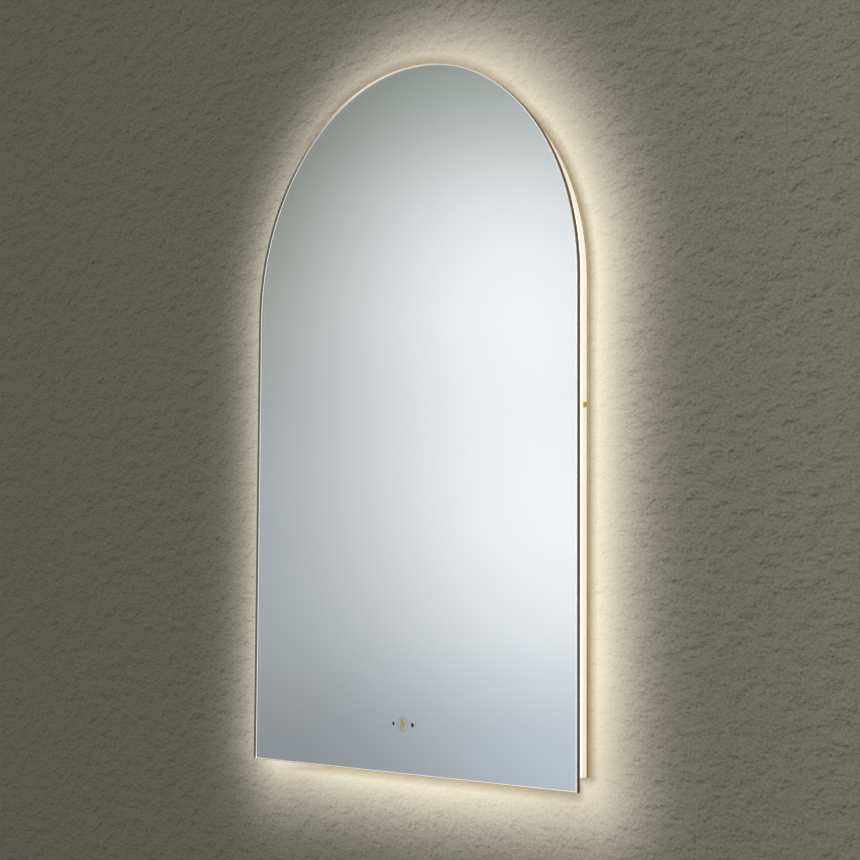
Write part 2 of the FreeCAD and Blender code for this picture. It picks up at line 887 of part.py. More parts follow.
def cable_grommet():
    back = panel_back + cover_sheet
    place = (grommet_offset, box_centre)
    outer = pin_y(grommet_flange_radius, *place, back, back + grommet_flange_thickness)
    neck = pin_y(grommet_neck_radius, *place, panel_back, back)
    inner = pin_y(grommet_flange_radius, *place, panel_back - grommet_flange_thickness, panel_back)
    bore_front = panel_back - grommet_flange_thickness
    bore = pin_y(grommet_bore_radius, *place, bore_front, back + grommet_flange_thickness)
    return cut(fuse(outer, neck, inner), [bore])


def terminal_places():
    pitch = block_length / terminal_count
    return [block_offset + (k - (terminal_count - 1) / 2) * pitch for k in range(terminal_count)]


def terminal_block():
    front = box_front + box_wall
    back = front + block_depth
    body = centred_block(block_offset, box_centre, block_length, block_width, front, back)
    wells = [
        pin_y(terminal_radius, x, box_centre, back - terminal_height, back)
        for x in terminal_places()
    ]
    entries = []
    for x in terminal_places():
        start = point(x, (front + back) / 2, box_centre - block_width / 2)
        entries.append(rod(terminal_radius, start, start + point(0, 0, block_width)))
    return cut(body, wells + entries)


def terminal_screws():
    back = box_front + box_wall + block_depth
    slot_floor = back - terminal_height / 2
    screws = []
    for x in terminal_places():
        head = pin_y(terminal_radius - screw_clearance, x, box_centre, back - terminal_height, back)
        slot = centred_block(x, box_centre, 2 * terminal_radius, terminal_slot_width, slot_floor, back)
        screws.append(head.cut(slot))
    return group(screws)


# ---------------------------------------------------------------- earth point
def earth_plane():
    """Axis of the earth lead, in the middle of the tag's sheet."""
    return panel_front - nut_height - tag_sheet / 2


def earth_stud():
    base = pin_y(nut_width / 2, stud_x, stud_z, panel_front - tag_sheet / 2, panel_front)
    return fuse(base, pin_y(stud_radius, stud_x, stud_z, panel_front - stud_length, panel_front))


def nut_y(front, back):
    radius = nut_width / math.sqrt(3)
    corners = []
    for k in range(6):
        angle = math.radians(60 * k)
        corners.append(point(stud_x + radius * math.cos(angle), front, stud_z + radius * math.sin(angle)))
    prism = Part.Face(Part.makePolygon(corners + corners[:1])).extrude(point(0, back - front, 0))
    return prism.cut(pin_y(stud_radius, stud_x, stud_z, front, back))


def earth_nuts():
    tag_back = panel_front - nut_height
    tag_front = tag_back - tag_sheet
    lower = nut_y(tag_back, panel_front - tag_sheet / 2)
    upper = nut_y(tag_front - nut_height, tag_front)
    return group([lower, upper])


def earth_tag():
    back = panel_front - nut_height
    front = back - tag_sheet
    ring = pin_y(tag_radius, stud_x, stud_z, front, back)
    neck = centred_block(stud_x, stud_z + tag_radius, tag_radius, 2 * tag_radius, front, back)
    return fuse(ring, neck).cut(pin_y(stud_radius, stud_x, stud_z, front, back))


# ---------------------------------------------------------------- demister and wave switch
def demister_pad():
    return block((-pad_width / 2, pad_width / 2), (film_back, pad_back), (pad_bottom, pad_top))


def demister_terminal():
    z = box_centre + lead_exit_offset
    return centred_block(-patch_offset, z, patch_length, patch_width, pad_back, pad_back + patch_height)


def sensor_housing():
    """Open-fronted box behind the marks."""
    back = housing_front + housing_depth
    outer = centred_block(0, mark_centre, housing_length, housing_width, housing_front, back)
    inner = centred_block(
        0, mark_centre, housing_length - 2 * housing_wall, housing_width - 2 * housing_wall,
        housing_front, back - housing_wall,
    )
    return outer.cut(inner)


def sensor_gasket():
    outer = centred_block(0, mark_centre, housing_length, housing_width, film_back, housing_front)
    inner = centred_block(
        0, mark_centre, housing_length - 2 * housing_wall, housing_width - 2 * housing_wall,
        film_back, housing_front,
    )
    return outer.cut(inner)


def sensor_board():
    length = housing_length - 2 * housing_wall - 2 * board_clearance
    width = housing_width - 2 * housing_wall - 2 * board_clearance
    back = sensor_board_front + sensor_board_thickness
    return centred_block(0, mark_centre, length, width, sensor_board_front, back)


def sensor_eye(x):
    """Round eye on the board, looking through its window."""
    return pin_y(eye_radius, x, mark_centre, film_back + eye_gap, sensor_board_front)


def ir_emitter():
    return sensor_eye(-mark_spacing / 2)


def ir_receiver():
    return sensor_eye(mark_spacing / 2)


def indicator_led():
    front = film_back + guide_thickness + eye_gap
    return centred_block(0, mark_centre, indicator_side, indicator_side, front, sensor_board_front)


def dark_window(x, radius):
    return pin_y(radius - window_clearance, x, mark_centre, silver_front, film_back)


def emitter_window():
    return dark_window(-mark_spacing / 2, emitter_window_radius)


def receiver_window():
    return dark_window(mark_spacing / 2, receiver_window_radius)


def icon_light_guide():
    """Disc behind the film whose raised icon and ring fill the clear places of the coat."""
    plate = pin_y(guide_radius, 0, mark_centre, film_back, film_back + guide_thickness)
    ring = ring_shape(-window_clearance, silver_front, film_back)
    icon = icon_shape(-window_clearance, silver_front, film_back)
    return fuse(plate, ring, icon)


# ---------------------------------------------------------------- inner wiring
def lead(points, radius):
    """Round lead along straight runs joined by tangent arcs, each as large as its runs allow."""
    edges = []
    start = points[0]
    for before, corner, after in zip(points, points[1:], points[2:]):
        entry = (before - corner).normalize()
        leave = (after - corner).normalize()
        turn = math.pi - entry.getAngle(leave)
        setback = lead_bend_share * min((before - corner).Length, (after - corner).Length)
        bend = setback / math.tan(turn / 2)
        middle_way = (entry + leave).normalize()
        middle = corner + middle_way * (bend / math.cos(turn / 2) - bend)
        arc_start = corner + entry * setback
        arc_end = corner + leave * setback
        edges.append(Part.makeLine(start, arc_start))
        edges.append(Part.Arc(arc_start, middle, arc_end).toShape())
        print("lead bend radius %.1f mm" % bend)
        start = arc_end
    edges.append(Part.makeLine(start, points[-1]))
    path = Part.Wire(edges)
    section = Part.Wire(Part.makeCircle(radius, points[0], points[1] - points[0]))
    tube = path.makePipeShell([section], True, False)
    whole = math.pi * radius ** 2 * path.Length
    print("lead volume over section times length: %.4f" % (tube.Volume / whole))
    return tube


def mains_route():
    box_end = -(box_inner_length / 2 + box_wall)
    driver_end = -driver_length / 2
    turn_x = driver_end - mains_turn_reach
    high = box_centre - lead_exit_offset
    low = brace_centre + lead_exit_offset
    places = ((box_end, high), (turn_x, high), (turn_x, low), (driver_end, low))
    return [point(x, mains_lead_plane, z) for x, z in places]


def driver_mains_lead():
    return lead(mains_route(), mains_lead_radius)


def led_route():
    driver_end = driver_length / 2
    high = brace_centre + lead_exit_offset
    first_bend, second_bend = [
        driver_end + (side_web - driver_end) * share for share in led_lead_bend_shares
    ]
    places = (
        (driver_end, high),
        (first_bend, high),
        (second_bend, feed_height),
        (side_web + channel_wall, feed_height),
    )
    return [point(x, low_voltage_plane, z) for x, z in places]


def led_lead():
    return lead(led_route(), led_lead_radius)


def sensor_route():
    driver_end = driver_length / 2
    top = mark_centre + housing_width / 2
    turn_x = driver_end + sensor_turn_reach
    entry = brace_centre - lead_exit_offset
    crossing = brace_centre - driver_width / 2 - sensor_crossing_drop
    places = ((0, top), (0, crossing), (turn_x, crossing), (turn_x, entry), (driver_end, entry))
    return [point(x, low_voltage_plane, z) for x, z in places]


def sensor_lead():
    return lead(sensor_route(), sensor_lead_radius)


def demister_lead():
    z = box_centre + lead_exit_offset
    box_end = -(box_inner_length / 2 + box_wall)
    patch_end = -(patch_offset - patch_length / 2)
    deep = pad_back + patch_height / 2
    first_bend, second_bend = [
        box_end + (patch_end - box_end) * share for share in demister_lead_bend_shares
    ]
    places = (
        (box_end, mains_lead_plane),
        (first_bend, mains_lead_plane),
        (second_bend, deep),
        (patch_end, deep),
    )
    return lead([point(x, y, z) for x, y in places], demister_lead_radius)


def earth_lead():
    box_end = box_inner_length / 2 + box_wall
    tag_end = stud_z + 2 * tag_radius
    plane = earth_plane()
    places = ((box_end, box_centre), (stud_x, box_centre), (stud_x, tag_end))
    return lead([point(x, plane, z) for x, z in places], earth_lead_radius)


def lead_clip(axis_point, direction, radius, seat):
    """Stand-off clip: a stuck base, a post and an eye round the lead."""
    outer = radius + clip_wall
    toward = 1 if axis_point.y > seat else -1
    base_top = seat + toward * clip_base_thickness
    x, z = axis_point.x, axis_point.z
    base = centred_block(x, z, clip_base, clip_base, seat, base_top)
    half_x, half_z = (clip_length, 2 * outer) if direction.x else (2 * outer, clip_length)
    post = centred_block(x, z, half_x, half_z, base_top, axis_point.y + toward * outer)
    reach = direction * clip_base
    bore = rod(radius + clip_bore_clearance, axis_point - reach, axis_point + reach)
    return fuse(base, post).cut(bore)


def lead_clips():
    level = point(1, 0, 0)
    upright = point(0, 0, 1)
    mains = mains_route()
    middle = (mains[1] + mains[2]) * 0.5
    led = led_route()
    led_place = led[2] + (led[3] - led[2]) * led_clip_share
    sensor = sensor_route()
    clips = [
        lead_clip(middle, upright, mains_lead_radius, panel_front),
        lead_clip(led_place, level, led_lead_radius, film_back),
    ]
    for share in sensor_clip_shares:
        place = sensor[0] + (sensor[1] - sensor[0]) * share
        seat = pad_back if place.z > pad_bottom else film_back
        clips.append(lead_clip(place, upright, sensor_lead_radius, seat))
    return group(clips)


# ---------------------------------------------------------------- every node, by name
diffuser = diffuser_ring()
channel = channel_ring()
rim = rim_ring()

nodes = {
    "mirror_glass": mirror_glass(),
    "silvering": silvering(),
    "safety_film": safety_film(),
    "frame_bond_tape": frame_bond_tape(),
    "diffuser_arch": arch_member(diffuser),
    "diffuser_base": base_member(diffuser),
    "channel_arch": arch_member(channel),
    "channel_base": base_member(channel),
    "corner_brackets": corner_brackets(),
    "corner_rivets": corner_rivets(),
    "led_strip": led_strip(),
    "led_chips": led_chips(),
    "cross_brace": cross_brace(),
    "side_screws": side_screws(),
    "back_panel": back_panel(),
    "rim_arch": arch_member(rim),
    "rim_base": base_member(rim),
    "back_panel_screws": back_panel_screws(),
    "wall_rail": wall_rail(),
    "hanger_rail": hanger_rail(),
    "hanger_rivets": hanger_rivets(),
    "wall_bumpers": wall_bumpers(),
    "driver_case": driver_case(),
    "driver_lid": driver_lid(),
    "driver_board": driver_board(),
    "driver_screws": driver_screws(),
    "junction_box": junction_box(),
    "junction_rivets": junction_rivets(),
    "terminal_cover": terminal_cover(),
    "cover_screws": cover_screws(),
    "cable_grommet": cable_grommet(),
    "terminal_block": terminal_block(),
    "terminal_screws": terminal_screws(),
    "earth_stud": earth_stud(),
    "earth_nuts": earth_nuts(),
    "earth_tag": earth_tag(),
    "demister_pad": demister_pad(),
    "demister_terminal": demister_terminal(),
    "sensor_housing": sensor_housing(),
    "sensor_gasket": sensor_gasket(),
    "sensor_board": sensor_board(),
    "ir_emitter": ir_emitter(),
    "ir_receiver": ir_receiver(),
    "indicator_led": indicator_led(),
    "emitter_window": emitter_window(),
    "receiver_window": receiver_window(),
    "icon_light_guide": icon_light_guide(),
    "driver_mains_lead": driver_mains_lead(),
    "led_lead": led_lead(),
    "sensor_lead": sensor_lead(),
    "demister_lead": demister_lead(),
    "earth_lead": earth_lead(),
    "lead_clips": lead_clips(),
}

os.makedirs("parts", exist_ok=True)
for name, shape in nodes.items():
    shape.exportStep("parts/" + name + ".step")
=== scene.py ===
import json
import math

import bpy
from mathutils import Euler, Matrix, Vector


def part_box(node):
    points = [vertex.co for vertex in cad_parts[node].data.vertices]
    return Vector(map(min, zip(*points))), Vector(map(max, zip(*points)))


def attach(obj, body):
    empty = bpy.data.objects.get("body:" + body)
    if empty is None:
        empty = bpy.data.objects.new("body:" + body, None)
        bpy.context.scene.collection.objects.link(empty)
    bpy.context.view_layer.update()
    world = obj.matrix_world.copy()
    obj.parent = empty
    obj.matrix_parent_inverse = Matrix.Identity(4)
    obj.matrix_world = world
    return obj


# Arched backlit bathroom mirror on a plain wall. Metres, in the frame of the CAD part:
# X along the wall, Y into the wall, Z up, with the wall's face at Y = 0.
# Colours are linear red, green and blue. Noise scales are in features per metre.

MM = 0.001

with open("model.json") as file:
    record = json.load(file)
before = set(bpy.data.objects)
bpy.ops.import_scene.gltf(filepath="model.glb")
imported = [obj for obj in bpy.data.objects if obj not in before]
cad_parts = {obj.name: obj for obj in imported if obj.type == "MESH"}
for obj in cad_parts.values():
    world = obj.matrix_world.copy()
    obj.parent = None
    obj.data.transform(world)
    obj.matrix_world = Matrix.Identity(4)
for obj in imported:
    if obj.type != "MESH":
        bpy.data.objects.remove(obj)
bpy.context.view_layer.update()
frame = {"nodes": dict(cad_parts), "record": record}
nodes = frame["nodes"]
record = frame["record"]
slot_colours = {m["slot"]: m["base_color"][:3] for m in record["materials"]}
slot_of_node = {s["node"]: s["material_slot"] for s in record["subparts"]}

pane_low, pane_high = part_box("mirror_glass")
diffuser_low, diffuser_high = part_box("diffuser_arch")
body_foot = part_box("diffuser_base")[0].z
pane_half = pane_high.x
arch_centre = pane_high.z - pane_half
mid_height = (pane_low.z + pane_high.z) / 2


# ---------------------------------------------------------------- node trees
NOISE_MIDDLE = (0.3, 0.7)
# places of the colour sockets of a Mix node, which have the names of its other sockets
MIX_COLOUR_A = 6
MIX_COLOUR_B = 7
MIX_COLOUR_RESULT = 2


class Tree:
    """One node tree, built from empty."""

    def __init__(self, owner):
        owner.use_nodes = True
        self.tree = owner.node_tree
        self.tree.nodes.clear()

    def add(self, kind, inputs=None, **settings):
        """A shader node with its settings and inputs; an input may be a value or a socket."""
        node = self.tree.nodes.new("ShaderNode" + kind)
        for name, value in settings.items():
            setattr(node, name, value)
        for name, value in (inputs or {}).items():
            self.feed(node.inputs[name], value)
        return node

    def feed(self, socket, value):
        """A socket's value, or the link that brings it."""
        if isinstance(value, bpy.types.NodeSocket):
            self.tree.links.new(value, socket)
        elif hasattr(value, "__len__") and socket.type == "RGBA" and len(value) == 3:
            socket.default_value = (*value, 1.0)
        else:
            socket.default_value = value

    def maths(self, operation, *values):
        return self.add("Math", dict(enumerate(values)), operation=operation).outputs[0]

    def length(self, first, second):
        """Length of the diagonal of two sides."""
        squares = (self.maths("MULTIPLY", side, side) for side in (first, second))
        return self.maths("SQRT", self.maths("ADD", *squares))

    def scaled(self, colour, factor):
        """A colour socket times a number or a socket."""
        return self.add("VectorMath", {0: colour, "Scale": factor}, operation="SCALE").outputs[0]

    def place(self):
        """Place in the row frame, in metres, which moves with the piece."""
        return self.add("TexCoord").outputs["Object"]

    def place_parts(self):
        """The same place as its X, Y and Z."""
        return self.add("SeparateXYZ", {0: self.place()}).outputs

    def noise(self, scale, detail=3.0, stretch=(1, 1, 1), roughness=0.5, shift=(0, 0, 0)):
        moved = self.add("Mapping", {"Vector": self.place(), "Scale": stretch, "Location": shift})
        texture = self.add(
            "TexNoise",
            {"Vector": moved.outputs[0], "Scale": scale, "Detail": detail, "Roughness": roughness},
        )
        return texture.outputs["Fac"]

    def ramp(self, value, stops, interpolation="LINEAR"):
        """Colours at places from 0 to 1."""
        node = self.add("ValToRGB", {"Fac": value})
        node.color_ramp.interpolation = interpolation
        elements = node.color_ramp.elements
        while len(elements) < len(stops):
            elements.new(0.5)
        for element, (place, colour) in zip(elements, stops):
            element.position = place
            element.color = (*colour, 1.0)
        return node.outputs["Color"]

    def spread(self, value, low, high, to_low, to_high):
        """A value moved from one range to another, held at its ends."""
        limits = {"From Min": low, "From Max": high, "To Min": to_low, "To Max": to_high}
        return self.add("MapRange", {"Value": value, **limits}).outputs[0]

    def even(self, noise, to_low=0.0, to_high=1.0):
        """Noise, which lies mostly about its middle, moved to fill a range."""
        return self.spread(noise, *NOISE_MIDDLE, to_low, to_high)

    def blend(self, factor, first, second):
        """Mix of two colours."""
        node = self.add("Mix", data_type="RGBA")
        self.feed(node.inputs["Factor"], factor)
        self.feed(node.inputs[MIX_COLOUR_A], first)
        self.feed(node.inputs[MIX_COLOUR_B], second)
        return node.outputs[MIX_COLOUR_RESULT]

    def either(self, factor, first, second):
        """Mix of two shaders."""
        node = self.add("MixShader", {0: factor, 1: first, 2: second})
        return node.outputs[0]

    def bump(self, height, strength, distance):
        """Normal bent by a height; the distance is in metres."""
        inputs = {"Height": height, "Strength": strength, "Distance": distance}
        return self.add("Bump", inputs).outputs[0]

    def principled(self, **inputs):
        """Principled shader; an underscore stands for a space in an input's name."""
        names = {key.replace("_", " "): value for key, value in inputs.items()}
        return self.add("BsdfPrincipled", names).outputs[0]

    def output(self, shader, kind="OutputMaterial"):
        self.add(kind, {"Surface": shader})


def material(name):
    """A new material and its empty tree."""
    made = bpy.data.materials.new(name)
    return made, Tree(made)


def shade(colour, factor):
    """A colour times a factor, at most full."""
    return tuple(min(1.0, c * factor) for c in colour)


def tones(colour, mottle):
    """The darker and the lighter tone of a mottled colour."""
    return shade(colour, 1 - mottle), shade(colour, 1 + mottle)


MOTTLE_DETAIL = 4.0
GRAIN_DETAIL = 2.0
GRAIN_BUMP = 0.5


def surface(
    name,
    colour,
    metallic=0.0,
    roughness=0.4,
    mottle=0.06,
    mottle_scale=60.0,
    grain_scale=900.0,
    grain_stretch=(1, 1, 1),
    grain_depth=0.02,
    rough_spread=0.08,
    specular=0.5,
):
    """Finish with slow colour variation, fine grain and uneven gloss; the grain's depth is in mm."""
    made, tree = material(name)
    slow = tree.even(tree.noise(mottle_scale, MOTTLE_DETAIL))
    fine = tree.noise(grain_scale, GRAIN_DETAIL, grain_stretch)
    shader = tree.principled(
        Base_Color=tree.blend(slow, *tones(colour, mottle)),
        Metallic=metallic,
        Roughness=tree.even(fine, roughness - rough_spread / 2, roughness + rough_spread / 2),
        Normal=tree.bump(fine, GRAIN_BUMP, grain_depth * MM),
        Specular_IOR_Level=specular,
    )
    tree.output(shader)
    return made


# ---------------------------------------------------------------- pane and coat
GLASS_BODY = (0.992, 0.998, 0.995)
GLASS_IOR = 1.5
# shares of the normal along Y, above which it is a face, and along X, over which the edge's painted
# light gives way to its painted shade
FACE_FACING = 0.9
SIDEWAYS = (0.25, 0.6)
ARRIS_DEPTH = 0.85 * MM

# glass edge colours are painted shade and reflection: grey at the front turning brown towards the
# back, streaked, black near the foot, greyer seen from inside the glass
EDGE_GREY = (0.275, 0.262, 0.262)
EDGE_BROWN = (0.078, 0.038, 0.009)
EDGE_STREAK = (0.16, 0.10, 0.05)
EDGE_FOOT_SHADE = (0.010, 0.016, 0.010)
EDGE_INSIDE = (0.11, 0.105, 0.09)
# painted light on the edge where it faces up or down, as colour and as emission (EDGE_GLOW)
EDGE_LIT = (0.62, 0.55, 0.44)
# depths behind the pane's front over which the painted grey turns to painted brown shade
EDGE_GREY_ENDS = (1.9 * MM, 2.7 * MM)
# height above the foot over which the brown loses its painted black shade
EDGE_FOOT_SHADE_REACH = 0.10
EDGE_ROUGHNESS = 0.25
EDGE_SPECULAR = 0.25
EDGE_GLOW = 0.85
STREAK_SCALE = 220.0
STREAK_DETAIL = 3.0
STREAK_STRETCH = (1, 1, 0.15)
STREAK_RANGE = (0.4, 0.8)
STREAK_SHARE = 0.15

ARRIS_WHITE = (0.86, 0.88, 0.88)
# painted shade on the downward-facing arris at the foot
ARRIS_FOOT_SHADE = (0.60, 0.53, 0.46)
# painted glint: emission seen from outside the glass and from inside it
ARRIS_GLINT = (0.18, 1.0)
ARRIS_METALLIC = 0.3
ARRIS_ROUGHNESS = (0.18, 0.32)
ARRIS_DOWNWARD = (-0.7, -0.3)
GROUND_SCALE = 1600.0
GROUND_BUMP = 0.4
GROUND_DEPTH = 0.02 * MM


def pane_face(tree):
    """Clear refractive glass, which shadows and diffuse light pass straight."""
    clear_inputs = {"Color": GLASS_BODY, "Roughness": 0.0, "IOR": GLASS_IOR}
    clear = tree.add("BsdfGlass", clear_inputs).outputs[0]
    through = tree.add("BsdfTransparent", {"Color": GLASS_BODY}).outputs[0]
    path = tree.add("LightPath").outputs
    passing = tree.maths("MAXIMUM", path["Is Shadow Ray"], path["Is Diffuse Ray"])
    return tree.either(passing, clear, through)


def pane_edge(tree, normal, depth, from_inside):
    """Edge of the pane: painted light at top and foot, painted shade and reflection at the sides,
    browner towards the back.
    """
    height = tree.place_parts()["Z"]
    low = tree.spread(height, pane_low.z, pane_low.z + EDGE_FOOT_SHADE_REACH, 1.0, 0.0)
    back_share = tree.spread(depth, *EDGE_GREY_ENDS, 0.0, 1.0)
    streak = tree.noise(STREAK_SCALE, STREAK_DETAIL, STREAK_STRETCH)
    dark = tree.blend(back_share, EDGE_GREY, EDGE_BROWN)
    dark = tree.blend(tree.spread(streak, *STREAK_RANGE, 0.0, STREAK_SHARE), dark, EDGE_STREAK)
    dark = tree.blend(tree.maths("MULTIPLY", low, back_share), dark, EDGE_FOOT_SHADE)
    dark = tree.blend(from_inside, dark, EDGE_INSIDE)
    sideways = tree.spread(tree.maths("ABSOLUTE", normal["X"]), *SIDEWAYS, 0.0, 1.0)
    return tree.principled(
        Base_Color=tree.blend(sideways, EDGE_LIT, dark),
        Roughness=EDGE_ROUGHNESS,
        Specular_IOR_Level=EDGE_SPECULAR,
        Emission_Color=EDGE_LIT,
        Emission_Strength=tree.spread(sideways, 0.0, 1.0, EDGE_GLOW, 0.0),
    )


def pane_arris(tree, normal, from_inside):
    """Ground arris: pale, with painted shade that makes it warmer and darker at the foot, and a
    painted glint that shows most from inside the glass.
    """
    ground = tree.noise(GROUND_SCALE, GRAIN_DETAIL)
    downward = tree.spread(normal["Z"], *ARRIS_DOWNWARD, 1.0, 0.0)
    colour = tree.blend(downward, ARRIS_WHITE, ARRIS_FOOT_SHADE)
    return tree.principled(
        Base_Color=colour,
        Roughness=tree.even(ground, *ARRIS_ROUGHNESS),
        Normal=tree.bump(ground, GROUND_BUMP, GROUND_DEPTH),
        Metallic=ARRIS_METALLIC,
        Emission_Color=colour,
        Emission_Strength=tree.spread(from_inside, 0.0, 1.0, *ARRIS_GLINT),
    )


def glass_material():
    """The pane: clear faces inside a ground arris with a painted glint, and an edge in painted light
    and shade.
    """
    made, tree = material("clear_glass")
    normal = tree.add("SeparateXYZ", {0: tree.add("TexCoord").outputs["Normal"]}).outputs
    is_rim = tree.maths("LESS_THAN", tree.maths("ABSOLUTE", normal["Y"]), FACE_FACING)
    depth = tree.maths("SUBTRACT", tree.place_parts()["Y"], pane_low.y)
    is_edge = tree.maths("GREATER_THAN", depth, ARRIS_DEPTH)
    from_inside = tree.add("NewGeometry").outputs["Backfacing"]
    arris = pane_arris(tree, normal, from_inside)
    edge = pane_edge(tree, normal, depth, from_inside)
    tree.output(tree.either(is_rim, pane_face(tree), tree.either(is_edge, arris, edge)))
    return made


SILVER_TONES = ((0.955, 0.965, 0.968), (0.975, 0.98, 0.982))
SILVER_SCALE = 7.0
SILVER_ROUGHNESS = (0.0, 0.012)
SILVER_WAVE_SCALE = 3.0
SILVER_WAVE_DETAIL = 1.0
SILVER_WAVE_BUMP = 0.02
SILVER_WAVE_DEPTH = 0.1 * MM


def mirror_material():
    """Silver coat, with a barely uneven gloss."""
    made, tree = material("mirror_coat")
    slow = tree.noise(SILVER_SCALE, GRAIN_DETAIL)
    wave = tree.noise(SILVER_WAVE_SCALE, SILVER_WAVE_DETAIL)
    shader = tree.principled(
        Base_Color=tree.blend(slow, *SILVER_TONES),
        Metallic=1.0,
        Roughness=tree.even(slow, *SILVER_ROUGHNESS),
        Normal=tree.bump(wave, SILVER_WAVE_BUMP, SILVER_WAVE_DEPTH),
    )
    tree.output(shader)
    return made


# ---------------------------------------------------------------- lit body
DIFFUSER_COLOUR = (0.9, 0.87, 0.8)
DIFFUSER_WHITE = (1.0, 0.965, 0.90)
DIFFUSER_GLOW = 1.15
DIFFUSER_EDGE_SHARE = 0.82
DIFFUSER_ROUGHNESS = 0.45
DIFFUSER_CLOUD_SCALE = 45.0
DIFFUSER_CLOUD = (0.97, 1.03)
DIFFUSER_GRAIN_SCALE = 1500.0
DIFFUSER_BUMP = 0.2
FINE_DEPTH = 0.01 * MM


def diffuser_material():
    """Opal band, lit from inside: brightest along its middle."""
    made, tree = material("opal_acrylic")
    middle = (diffuser_low.y + diffuser_high.y) / 2
    half_width = (diffuser_high.y - diffuser_low.y) / 2
    off = tree.maths("ABSOLUTE", tree.maths("SUBTRACT", tree.place_parts()["Y"], middle))
    fall = tree.spread(off, 0.0, half_width, 1.0, DIFFUSER_EDGE_SHARE)
    cloud = tree.even(tree.noise(DIFFUSER_CLOUD_SCALE, GRAIN_DETAIL), *DIFFUSER_CLOUD)
    shader = tree.principled(
        Base_Color=DIFFUSER_COLOUR,
        Roughness=DIFFUSER_ROUGHNESS,
        Emission_Color=DIFFUSER_WHITE,
        Emission_Strength=tree.maths("MULTIPLY", tree.maths("MULTIPLY", fall, cloud), DIFFUSER_GLOW),
        Normal=tree.bump(tree.noise(DIFFUSER_GRAIN_SCALE), DIFFUSER_BUMP, FINE_DEPTH),
    )
    tree.output(shader)
    return made


GUIDE_GOLD = (0.43, 0.37, 0.16)
GUIDE_GOLD_MOTTLE = 0.12
GUIDE_RING = (0.33, 0.36, 0.34)
GUIDE_RING_MOTTLE = 0.08
GUIDE_RING_INSIDE = 6.5 * MM
GUIDE_ROUGHNESS = (0.35, 0.5)
GUIDE_CLOUD_SCALE = 700.0
GUIDE_GRAIN_SCALE = 1800.0
GUIDE_BUMP = 0.3


def guide_material():
    """Gold tinted glyph inside a grey-green ring."""
    made, tree = material("gold_guide")
    low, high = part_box("icon_light_guide")
    place = tree.place_parts()
    across = tree.maths("SUBTRACT", place["X"], (low.x + high.x) / 2)
    up = tree.maths("SUBTRACT", place["Z"], (low.z + high.z) / 2)
    in_ring = tree.maths("GREATER_THAN", tree.length(across, up), GUIDE_RING_INSIDE)
    cloud = tree.even(tree.noise(GUIDE_CLOUD_SCALE))
    glyph, ring = (
        tree.blend(cloud, *tones(colour, mottle))
        for colour, mottle in ((GUIDE_GOLD, GUIDE_GOLD_MOTTLE), (GUIDE_RING, GUIDE_RING_MOTTLE))
    )
    shader = tree.principled(
        Base_Color=tree.blend(in_ring, glyph, ring),
        Roughness=tree.spread(cloud, 0.0, 1.0, *GUIDE_ROUGHNESS),
        Normal=tree.bump(tree.noise(GUIDE_GRAIN_SCALE), GUIDE_BUMP, FINE_DEPTH),
    )
    tree.output(shader)
    return made


CHIP_TONES = ((0.95, 0.78, 0.30), (1.0, 0.88, 0.45))
CHIP_CLOUD_SCALE = 900.0
CHIP_ROUGHNESS = 0.35
CHIP_LIGHT = (1.0, 0.90, 0.74)
CHIP_GLOW = 2.0


def chip_material():
    """Yellow phosphor of the light chips, lit."""
    made, tree = material("warm_chip")
    shader = tree.principled(
        Base_Color=tree.blend(tree.noise(CHIP_CLOUD_SCALE), *CHIP_TONES),
        Roughness=CHIP_ROUGHNESS,
        Emission_Color=CHIP_LIGHT,
        Emission_Strength=CHIP_GLOW,
    )
    tree.output(shader)
    return made


BAND_CREAM = (0.90, 0.83, 0.70)


def band_material():
    """Warm white powder coat: fine orange-peel grain."""
    return surface(
        "white_aluminium",
        BAND_CREAM,
        roughness=0.42,
        mottle=0.02,
        grain_scale=1400.0,
    )


RIM_PALE = (0.60, 0.53, 0.40)
# painted shade and reflection low on the rim, and painted groove shade along its front edge
RIM_LOW_SHADE = (0.66, 0.47, 0.25)
RIM_GROOVE_SHADE = (0.34, 0.19, 0.06)
# heights above the pane's foot between which the painted shade and reflection low on the rim fades out
RIM_LOW_SHADE_RISE = (0.07, 0.39)
# depths behind the rim's front between which the painted shade of the groove fades out
RIM_GROOVE_SHADE_REACH = (0.8 * MM, 2.4 * MM)
RIM_CLOUD_SCALE = 35.0
RIM_MOTTLE = 0.08
RIM_METALLIC = 0.75
RIM_ROUGHNESS = (0.30, 0.38)
RIM_GRAIN_SCALE = 1200.0
RIM_GRAIN_STRETCH = (1, 1, 0.06)


